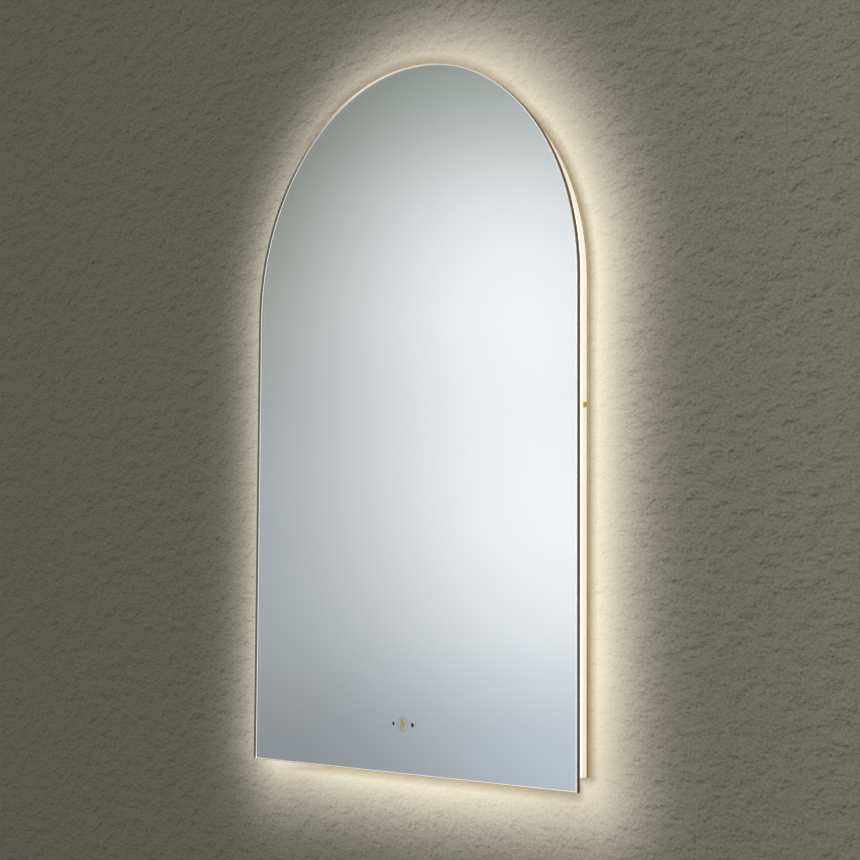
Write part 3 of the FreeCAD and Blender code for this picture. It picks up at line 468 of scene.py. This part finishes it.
def rim_material():
    """Champagne anodised sheet, drawn lengthwise; near the foot painted shade and reflection make it
    browner, with painted groove shade at its front.
    """
    made, tree = material("tan_aluminium")
    place = tree.place_parts()
    low_shade_ends = [pane_low.z + rise for rise in RIM_LOW_SHADE_RISE]
    low_shade = tree.spread(place["Z"], *low_shade_ends, 1.0, 0.0)
    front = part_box("rim_arch")[0].y
    groove_shade_ends = [front + reach for reach in RIM_GROOVE_SHADE_REACH]
    back_share = tree.spread(place["Y"], *groove_shade_ends, 0.0, 1.0)
    hue_and_shade = tree.blend(low_shade, RIM_PALE, tree.blend(back_share, RIM_GROOVE_SHADE, RIM_LOW_SHADE))
    slow = tree.even(tree.noise(RIM_CLOUD_SCALE, MOTTLE_DETAIL))
    fine = tree.noise(RIM_GRAIN_SCALE, GRAIN_DETAIL, RIM_GRAIN_STRETCH)
    dark = tree.scaled(hue_and_shade, 1 - RIM_MOTTLE)
    light = tree.scaled(hue_and_shade, 1 + RIM_MOTTLE)
    shader = tree.principled(
        Base_Color=tree.blend(slow, dark, light),
        Metallic=RIM_METALLIC,
        Roughness=tree.even(fine, *RIM_ROUGHNESS),
        Normal=tree.bump(fine, GRAIN_BUMP, FINE_DEPTH),
    )
    tree.output(shader)
    return made


# ---------------------------------------------------------------- one finish for each slot
WINDOW_SHARE = 0.3
# slots with a material of their own
MAKERS = {
    "clear_glass": glass_material,
    "mirror_coat": mirror_material,
    "opal_acrylic": diffuser_material,
    "warm_chip": chip_material,
    "gold_guide": guide_material,
    "white_aluminium": band_material,
    "tan_aluminium": rim_material,
}
# settings of surface() for the other slots
SETTINGS = {
    "white_film": dict(roughness=0.3, mottle=0.02, grain_scale=500.0),
    "grey_foam": dict(roughness=0.9, mottle=0.12, grain_scale=2200.0, grain_depth=0.15),
    "brass": dict(metallic=1.0, roughness=0.28, mottle=0.08, grain_scale=1500.0),
    "bare_aluminium": dict(metallic=1.0, roughness=0.38, grain_stretch=(0.05, 1, 1)),
    "zinc_steel": dict(metallic=1.0, roughness=0.4, mottle=0.14, mottle_scale=90.0),
    "grey_steel": dict(roughness=0.45, mottle=0.012, grain_scale=1100.0, grain_depth=0.04),
    "white_circuit": dict(roughness=0.5, mottle=0.03),
    "white_plastic": dict(roughness=0.42, mottle=0.02, grain_scale=1300.0),
    "green_circuit": dict(roughness=0.35, mottle=0.15, mottle_scale=300.0),
    "black_rubber": dict(roughness=0.62, mottle=0.2, grain_scale=1500.0, grain_depth=0.05),
    "black_plastic": dict(roughness=0.45, mottle=0.2, grain_scale=1500.0),
    "cream_plastic": dict(roughness=0.4, mottle=0.04),
    "heater_film": dict(roughness=0.35, mottle=0.06, mottle_scale=20.0),
    "dark_window": dict(roughness=0.3, mottle=0.2, specular=0.05),
    "white_lead": dict(roughness=0.5, mottle=0.03),
    "grey_lead": dict(roughness=0.5, mottle=0.06),
    "green_lead": dict(roughness=0.5, mottle=0.3, mottle_scale=120.0),
}


def finish_of(slot):
    """Material of a slot, in the slot's own colour; the windows' glass is darker."""
    if slot in MAKERS:
        return MAKERS[slot]()
    colour = shade(slot_colours[slot], WINDOW_SHARE if slot == "dark_window" else 1.0)
    return surface(slot, colour, **SETTINGS[slot])


finishes = {slot: finish_of(slot) for slot in slot_colours}
for name, piece in nodes.items():
    piece.data.materials.clear()
    piece.data.materials.append(finishes[slot_of_node[name]])


# ---------------------------------------------------------------- edge seal on the pane's back, its brown partly painted shade
# brown of the edge paint, which is also painted shade that widens the dark band along the pane's edge
SEAL_BROWN_AND_SHADE = (0.22, 0.12, 0.035)
SEAL_WIDTH = 2.4 * MM
SEAL_HEIGHT = 2.1 * MM
SEAL_INSET = 0.1 * MM
SEAL_STEPS = 6
SEAL_LIFT = 0.01 * MM
# further (inset, rise) points of the bead's section, down over the arris
SEAL_LIP = [(0.95 * MM, 0.0), (0.93 * MM, -0.23 * MM), (0.05 * MM, -1.14 * MM)]
ARC_STEPS = 96


def link_piece(name, data):
    """A new object in the scene."""
    piece = bpy.data.objects.new(name, data)
    bpy.context.scene.collection.objects.link(piece)
    return piece


def arched_outline(half, bottom):
    """Arched outline as (x, z) points, from the left foot round the arch to the right foot."""
    points = [(-half, bottom), (-half, arch_centre)]
    for k in range(1, ARC_STEPS):
        angle = math.pi - math.pi * k / ARC_STEPS
        points.append((half * math.cos(angle), arch_centre + half * math.sin(angle)))
    return points + [(half, arch_centre), (half, bottom)]


def edge_seal():
    """Bead of edge paint behind the film, half-round, with a lip over the pane's rear arris; its brown
    is also painted shade along the pane's edge.
    """
    profile = []
    for k in range(SEAL_STEPS + 1):
        turn = math.pi * k / SEAL_STEPS
        inset = SEAL_INSET + SEAL_WIDTH * (1 - math.cos(turn)) / 2
        profile.append((inset, SEAL_HEIGHT * math.sin(turn)))
    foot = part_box("safety_film")[1].y + SEAL_LIFT
    rings = []
    for inset, rise in profile + SEAL_LIP:
        outline = arched_outline(pane_half - inset, pane_low.z + inset)
        rings.append([(x, foot + rise, z) for x, z in outline])
    count = len(rings[0])
    verts = [point for ring in rings for point in ring]
    faces = []
    for r in range(len(rings)):
        here = r * count
        after = (r + 1) % len(rings) * count
        for k in range(count):
            ahead = (k + 1) % count
            faces.append((here + k, after + k, after + ahead, here + ahead))
    mesh = bpy.data.meshes.new("edge_seal")
    mesh.from_pydata(verts, [], faces)
    paint = surface("seal_paint_and_shade", SEAL_BROWN_AND_SHADE, roughness=0.35, mottle=0.2, mottle_scale=140.0)
    mesh.materials.append(paint)
    piece = link_piece("edge_seal", mesh)
    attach(piece, "mirror")


# ---------------------------------------------------------------- wall and floor
def sheet_object(name, corners, made):
    """A flat sheet of the stage, which is not part of the object."""
    mesh = bpy.data.meshes.new(name)
    mesh.from_pydata(corners, [], [(0, 1, 2, 3)])
    mesh.materials.append(made)
    piece = link_piece(name, mesh)
    return piece


# Halo and the soft shade in it: reaches and places in metres, the rest factors of its strength.
GLOW_COLOUR = (0.80, 0.745, 0.59)
GLOW_REACH = 0.0652
GLOW_FALL = 1.55
GLOW_FOOT = 1.33
GLOW_FOOT_SIDE = 1.05
GLOW_FOOT_RISE = 0.05
GLOW_FOOT_MIDDLE = 0.05
GLOW_FOOT_ENDS = (0.05, 0.30)
GLOW_CORNER = 0.80
GLOW_CORNER_REACH = 0.12
GLOW_LEFT = 1.50
GLOW_RIGHT = 0.92
GLOW_CROWN = 0.72
GLOW_CROWN_RISE = 0.25
GLOW_CAST = 0.45
GLOW_CALM = 0.92
GLOW_CALM_FROM = 0.7
SHADE_TINT = (0.53, 0.46, 0.38)
SHADE_REACH = 0.012
SHADE_MARGIN = 7.5 * MM
SHADE_MIDDLE = -0.043
SHADE_LIFT = 0.009
SHADE_FOOT_DROP = 0.006
SHADE_LEFT_END = -0.18


def outside(tree, place, middle, half, centre, bottom):
    """Distance outside an arched outline on the wall, height over its centre, depth below its foot."""
    across = tree.maths("ABSOLUTE", tree.maths("SUBTRACT", place["X"], middle))
    up = tree.maths("MAXIMUM", tree.maths("SUBTRACT", place["Z"], centre), 0.0)
    beside = tree.maths("MAXIMUM", tree.maths("SUBTRACT", tree.length(across, up), half), 0.0)
    below = tree.maths("MAXIMUM", tree.maths("SUBTRACT", bottom, place["Z"]), 0.0)
    return tree.length(beside, below), up, below


def glow_strength(tree, place, grain):
    """Strength of the halo, and the distance from the lit body's outline that it falls with."""
    away, up, below = outside(tree, place, 0.0, diffuser_high.x, arch_centre, body_foot)
    steep = tree.maths("POWER", tree.maths("DIVIDE", away, GLOW_REACH), GLOW_FALL)
    fall = tree.maths("EXPONENT", tree.maths("MULTIPLY", steep, -1.0))

    from_middle = tree.maths("ABSOLUTE", tree.maths("SUBTRACT", place["X"], GLOW_FOOT_MIDDLE))
    foot = tree.spread(from_middle, *GLOW_FOOT_ENDS, GLOW_FOOT, GLOW_FOOT_SIDE)
    foot = tree.spread(below, 0.0, GLOW_FOOT_RISE, 1.0, foot)
    to_side = tree.maths("SUBTRACT", tree.maths("ABSOLUTE", place["X"]), diffuser_high.x)
    to_corner = tree.length(to_side, tree.maths("SUBTRACT", place["Z"], body_foot))
    corner = tree.spread(to_corner, 0.0, GLOW_CORNER_REACH, GLOW_CORNER, 1.0)
    crown = tree.spread(up, 0.0, GLOW_CROWN_RISE, 1.0, GLOW_CROWN)
    side = tree.spread(place["X"], -pane_half, pane_half, GLOW_LEFT, GLOW_RIGHT)
    side = tree.spread(below, 0.0, GLOW_FOOT_RISE, side, 1.0)

    calm = tree.spread(grain, 0.0, 1.0, GLOW_CALM, 1.0)
    texture = tree.spread(fall, 0.0, GLOW_CALM_FROM, grain, calm)
    path = tree.add("LightPath").outputs
    sharp = tree.maths("ADD", path["Is Camera Ray"], path["Is Glossy Ray"])
    sharp = tree.maths("ADD", sharp, path["Is Transmission Ray"])
    cast = tree.spread(sharp, 0.0, 1.0, GLOW_CAST, 1.0)

    strength = fall
    for factor in (foot, corner, crown, side, texture, cast):
        strength = tree.maths("MULTIPLY", strength, factor)
    return strength, away


def glow_colour(tree, place, away):
    """Colour of the halo, with a warm shade close to the pane's and the body's outlines."""
    centre = arch_centre + SHADE_LIFT
    bottom = pane_low.z - SHADE_FOOT_DROP
    past = outside(tree, place, SHADE_MIDDLE, pane_half + SHADE_MARGIN, centre, bottom)[0]
    near = tree.spread(tree.maths("MINIMUM", away, past), 0.0, SHADE_REACH, 0.0, 1.0)
    left = tree.spread(place["X"], -pane_half, SHADE_LEFT_END, 1.0, 0.0)
    shaded = tuple(c * t for c, t in zip(GLOW_COLOUR, SHADE_TINT))
    return tree.blend(tree.maths("MAXIMUM", near, left), shaded, GLOW_COLOUR)


SPECKLE_SCALE = 300.0
SPECKLE_DETAIL = 3.0
SPECKLE_STRETCH = (0.85, 1, 1.15)
SPECKLE_ROUGHNESS = 0.65
SPECKLE_TONES = (0.79, 1.19)
RELIEF_SCALE = 48.0
RELIEF_DETAIL = 6.0
RELIEF_STRETCH = (0.78, 1, 1.1)
RELIEF_ROUGHNESS = 0.68
# offset of the relief's second sample, which places the painted shade as if lit from above
RELIEF_SHADE_SHIFT = (-0.7 * MM, 0.0, 2.1 * MM)
RELIEF_LIMIT = 0.16
# (share of the slope's range, tone of painted shade)
RELIEF_SHADE_TONES = [(0.0, 0.36), (0.22, 0.67), (0.42, 0.97), (0.6, 1.06), (1.0, 1.18)]


def plaster_grain_and_shade(tree):
    """Tone about 1 of rough trowelled plaster: fine grain times the painted shade of a relief, as if
    lit from above.
    """
    fine = tree.noise(SPECKLE_SCALE, SPECKLE_DETAIL, SPECKLE_STRETCH, SPECKLE_ROUGHNESS)
    here, above = (
        tree.noise(RELIEF_SCALE, RELIEF_DETAIL, RELIEF_STRETCH, RELIEF_ROUGHNESS, shift)
        for shift in ((0, 0, 0), RELIEF_SHADE_SHIFT)
    )
    slope = tree.maths("SUBTRACT", above, here)
    share = tree.spread(slope, -RELIEF_LIMIT, RELIEF_LIMIT, 0.0, 1.0)
    relief = tree.ramp(share, [(at, (tone,) * 3) for at, tone in RELIEF_SHADE_TONES])
    tone = tree.add("SeparateColor", {0: relief}).outputs[0]
    return tree.maths("MULTIPLY", tree.even(fine, *SPECKLE_TONES), tone)


WALL_COLOUR = (0.165, 0.157, 0.122)
WALL_HALF = 2.4
WALL_GAP = 0.4 * MM
WALL_ROUGHNESS = 0.9
WALL_SPECULAR = 0.2
WALL_COARSE_SCALE = 9.0
WALL_COARSE_DETAIL = 6.0
WALL_COARSE_ROUGHNESS = 0.62
WALL_COARSE_SHARE = 0.5
WALL_GRAIN_SHARE = 0.12
WALL_BUMP = 0.4
WALL_DEPTH = 3 * MM


def wall():
    """Rough plastered wall with the halo on it, seen from the room side only."""
    made, tree = material("wall_plaster")
    # the grain holds the plaster's fine grain and its painted relief shade
    grain = plaster_grain_and_shade(tree)
    place = tree.place_parts()
    strength, away = glow_strength(tree, place, grain)
    coarse = tree.noise(WALL_COARSE_SCALE, WALL_COARSE_DETAIL, roughness=WALL_COARSE_ROUGHNESS)
    height = tree.maths(
        "ADD",
        tree.maths("MULTIPLY", coarse, WALL_COARSE_SHARE),
        tree.maths("MULTIPLY", grain, WALL_GRAIN_SHARE),
    )
    plaster = tree.principled(
        Base_Color=tree.scaled(WALL_COLOUR, grain),
        Roughness=WALL_ROUGHNESS,
        Specular_IOR_Level=WALL_SPECULAR,
        Normal=tree.bump(height, WALL_BUMP, WALL_DEPTH),
        Emission_Color=glow_colour(tree, place, away),
        Emission_Strength=strength,
    )
    from_behind = tree.add("NewGeometry").outputs["Backfacing"]
    nothing = tree.add("BsdfTransparent").outputs[0]
    tree.output(tree.either(from_behind, plaster, nothing))
    x, y, z = WALL_HALF, WALL_GAP, mid_height
    corners = [(-x, y, z - x), (x, y, z - x), (x, y, z + x), (-x, y, z + x)]
    piece = sheet_object("stage_wall", corners, made)
    piece.visible_shadow = False


FLOOR_COLOUR = (0.80, 0.79, 0.77)
FLOOR_BASE_SHARE = 0.62
FLOOR_LIFT = 0.54
FLOOR_MOTTLE = 0.01
FLOOR_CLOUD_SCALE = 3.0
FLOOR_ROUGHNESS = 0.7
FLOOR_HALF = 6.0
FLOOR_DROP = 1.05


def floor():
    """Plain pale floor, which the camera sees a little lighter than its lamps leave it."""
    made, tree = material("floor_plain")
    base = shade(FLOOR_COLOUR, FLOOR_BASE_SHARE)
    seen = tree.add("LightPath").outputs["Is Camera Ray"]
    shader = tree.principled(
        Base_Color=tree.blend(tree.noise(FLOOR_CLOUD_SCALE), *tones(base, FLOOR_MOTTLE)),
        Roughness=FLOOR_ROUGHNESS,
        Emission_Color=FLOOR_COLOUR,
        Emission_Strength=tree.maths("MULTIPLY", seen, FLOOR_LIFT),
    )
    tree.output(shader)
    x, z = FLOOR_HALF, pane_low.z - FLOOR_DROP
    piece = sheet_object("stage_floor", [(-x, -x, z), (x, -x, z), (x, x, z), (-x, x, z)], made)
    piece.visible_glossy = False
    piece.visible_transmission = False


# ---------------------------------------------------------------- studio
PALE = (0.86, 0.86, 0.85)
AMBIENT = 0.33
PANEL_COUNT = 18
PANEL_AZIMUTH = math.radians(44.15)
PANEL_LEAN = 0.162
PANEL_CURVE = -0.577
RISE_RANGE = (math.radians(-8.97), math.radians(18.08))
RISE_HALF = (RISE_RANGE[1] - RISE_RANGE[0]) / 2
# light between the panels, and what a panel adds, by share of the rise's range
ROOM_TONES = [
    (0.00, (0.26, 0.28, 0.30)),
    (0.12, (0.265, 0.285, 0.31)),
    (0.20, (0.315, 0.325, 0.345)),
    (0.27, (0.37, 0.385, 0.405)),
    (0.37, (0.38, 0.395, 0.42)),
    (0.50, (0.325, 0.34, 0.35)),
    (0.64, (0.22, 0.235, 0.205)),
    (0.78, (0.075, 0.085, 0.05)),
    (1.00, (0.06, 0.065, 0.05)),
]
PANEL_TONES = [
    (0.00, (0.15, 0.16, 0.18)),
    (0.12, (0.24, 0.265, 0.30)),
    (0.20, (0.29, 0.32, 0.36)),
    (0.27, (0.42, 0.42, 0.44)),
    (0.37, (0.545, 0.53, 0.55)),
    (0.50, (0.60, 0.585, 0.615)),
    (0.68, (0.71, 0.69, 0.76)),
    (0.78, (0.515, 0.52, 0.555)),
    (0.88, (0.25, 0.265, 0.27)),
    (1.00, (0.22, 0.23, 0.24)),
]


def panelled_room(tree):
    """Light of a soft room with tall leaning panels all round it, by azimuth and rise of the ray."""
    way = tree.add("SeparateXYZ", {0: tree.add("TexCoord").outputs["Generated"]}).outputs
    ahead = tree.maths("MULTIPLY", way["Y"], -1.0)
    azimuth = tree.maths("ARCTAN2", tree.maths("MULTIPLY", way["X"], -1.0), ahead)
    rise = tree.maths("ARCSINE", way["Z"])
    lean = tree.spread(rise, *RISE_RANGE, -RISE_HALF, RISE_HALF)
    slant = tree.maths("ADD", tree.maths("MULTIPLY", lean, PANEL_CURVE), PANEL_LEAN)
    leaning = tree.maths("MULTIPLY", lean, slant)
    turned = tree.maths("SUBTRACT", azimuth, tree.maths("ADD", leaning, PANEL_AZIMUTH))
    wave = tree.maths("COSINE", tree.maths("MULTIPLY", turned, float(PANEL_COUNT)))
    wave = tree.spread(wave, -1.0, 1.0, 0.0, 1.0)
    share = tree.spread(rise, *RISE_RANGE, 0.0, 1.0)
    room = tree.ramp(share, ROOM_TONES, "CARDINAL")
    panel = tree.ramp(share, PANEL_TONES, "CARDINAL")
    return tree.add("VectorMath", {0: panel, 1: wave, 2: room}, operation="MULTIPLY_ADD").outputs[0]


def studio_world():
    """Even pale surroundings; polished things see the panelled room instead."""
    world = bpy.data.worlds.new("studio")
    bpy.context.scene.world = world
    tree = Tree(world)
    panels, ambient, pale = (
        tree.add("Background", {"Color": colour, "Strength": strength}).outputs[0]
        for colour, strength in ((panelled_room(tree), 1.0), ((1, 1, 1), AMBIENT), (PALE, 1.0))
    )
    path = tree.add("LightPath").outputs
    polished = tree.maths("MAXIMUM", path["Is Glossy Ray"], path["Is Transmission Ray"])
    seen = tree.either(path["Is Camera Ray"], ambient, pale)
    tree.output(tree.either(polished, seen, panels), "OutputWorld")


# name, place, side of the square and power in watts
LAMPS = [
    ("key", (2.4, -1.7, 0.1), 1.6, 60.0),
    ("fill", (-1.8, -2.4, 0.3), 1.8, 12.5),
    ("behind", (0.8, 2.6, 0.9), 2.0, 62.0),
]


def lamps():
    """Soft square lamps that face the middle of the mirror and are not seen themselves."""
    middle = Vector((0, 0, mid_height))
    for name, place, size, power in LAMPS:
        data = bpy.data.lights.new(name, "AREA")
        data.shape = "SQUARE"
        data.size = size
        data.energy = power
        piece = link_piece(name, data)
        piece.location = place
        piece.rotation_euler = (middle - Vector(place)).to_track_quat("-Z", "Y").to_euler()
        piece.visible_glossy = False
        piece.visible_transmission = False
        piece.visible_camera = False


# ---------------------------------------------------------------- camera of the photograph
CAMERA_PLACE = (1.9279, -1.7796, -0.4506)
CAMERA_TURN = 47.195
CAMERA_RISE = 4.258
CAMERA_ROLL = 0.352
PICTURE_SIDE = 860
FOCAL_PIXELS = 2053.0
SENSOR_WIDTH = 36.0


def camera():
    """The photograph's camera: angles in degrees, and its focal length in pixels of the picture."""
    data = bpy.data.cameras.new("camera")
    data.sensor_width = SENSOR_WIDTH
    data.lens = FOCAL_PIXELS * SENSOR_WIDTH / PICTURE_SIDE
    data.dof.use_dof = False
    piece = link_piece("camera", data)
    aim = Euler((math.radians(90 + CAMERA_RISE), 0, math.radians(CAMERA_TURN)))
    roll = Matrix.Rotation(math.radians(CAMERA_ROLL), 4, "Z")
    piece.matrix_world = Matrix.Translation(CAMERA_PLACE) @ aim.to_matrix().to_4x4() @ roll
    bpy.context.scene.camera = piece


edge_seal()
wall()
floor()
studio_world()
lamps()
camera()
bpy.context.scene.view_settings.view_transform = "Standard"
